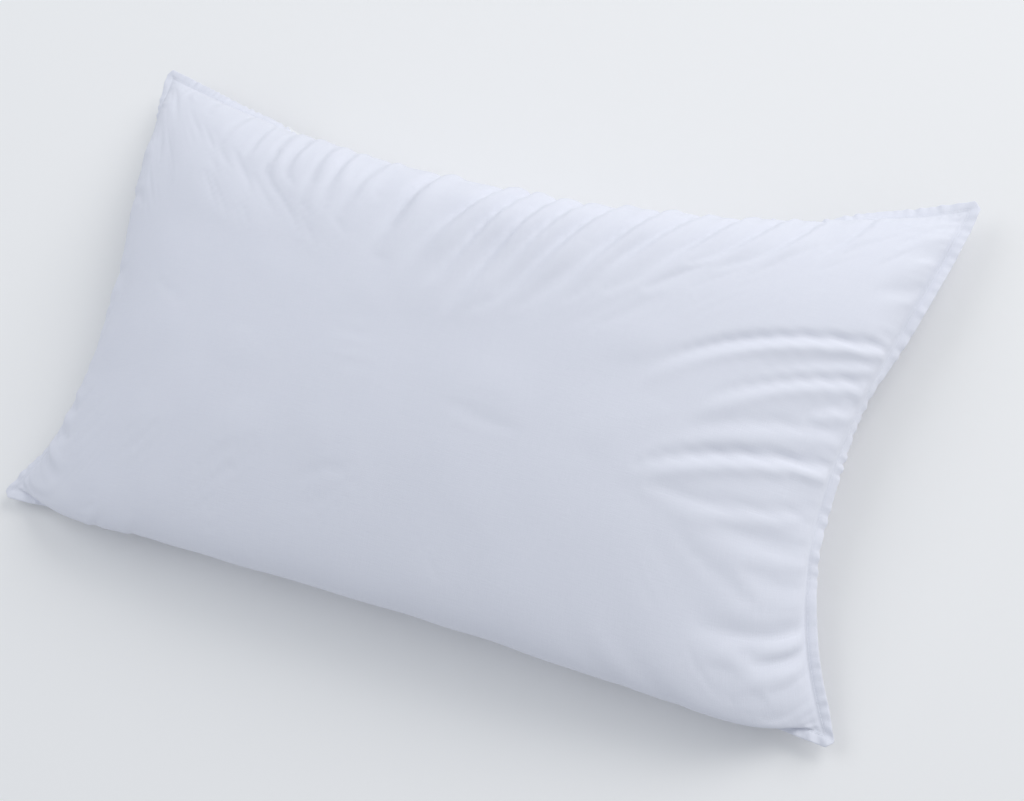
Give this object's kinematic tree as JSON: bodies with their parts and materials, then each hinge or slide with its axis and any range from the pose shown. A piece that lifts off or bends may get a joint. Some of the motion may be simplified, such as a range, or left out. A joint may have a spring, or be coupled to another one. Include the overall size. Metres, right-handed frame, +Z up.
{
  "type": "bed pillow",
  "caption": "King-size white bed pillow, fibre filled, with a flat topstitched edge, drawn-in sides and pointed corners, lying on its back panel.",
  "frame": {"origin": "middle of the pillow's box, on the surface that the back panel lies on", "axes": "+X along the pillow's length, +Y from the full near side to the far side that the care label hangs from, +Z up through the front panel"},
  "size_m": [0.88, 0.4995, 0.1563],
  "materials": {
    "shell_cotton": "fine plain-weave cotton, matt with a faint sheen",
    "fill_fibre": "loose white fibre",
    "sewing_thread": "spun sewing thread, faint sheen",
    "label_tape": "smooth woven tape, blank"
  },
  "bodies": {
    "root": {"front_panel": "shell_cotton", "back_panel": "shell_cotton", "fibre_fill": "fill_fibre", "joining_seam_thread": "sewing_thread", "topstitch_needle_thread": "sewing_thread", "topstitch_bobbin_thread": "sewing_thread", "closing_stitch_needle_thread": "sewing_thread", "closing_stitch_bobbin_thread": "sewing_thread", "care_label": "label_tape"}
  },
  "joints": []
}
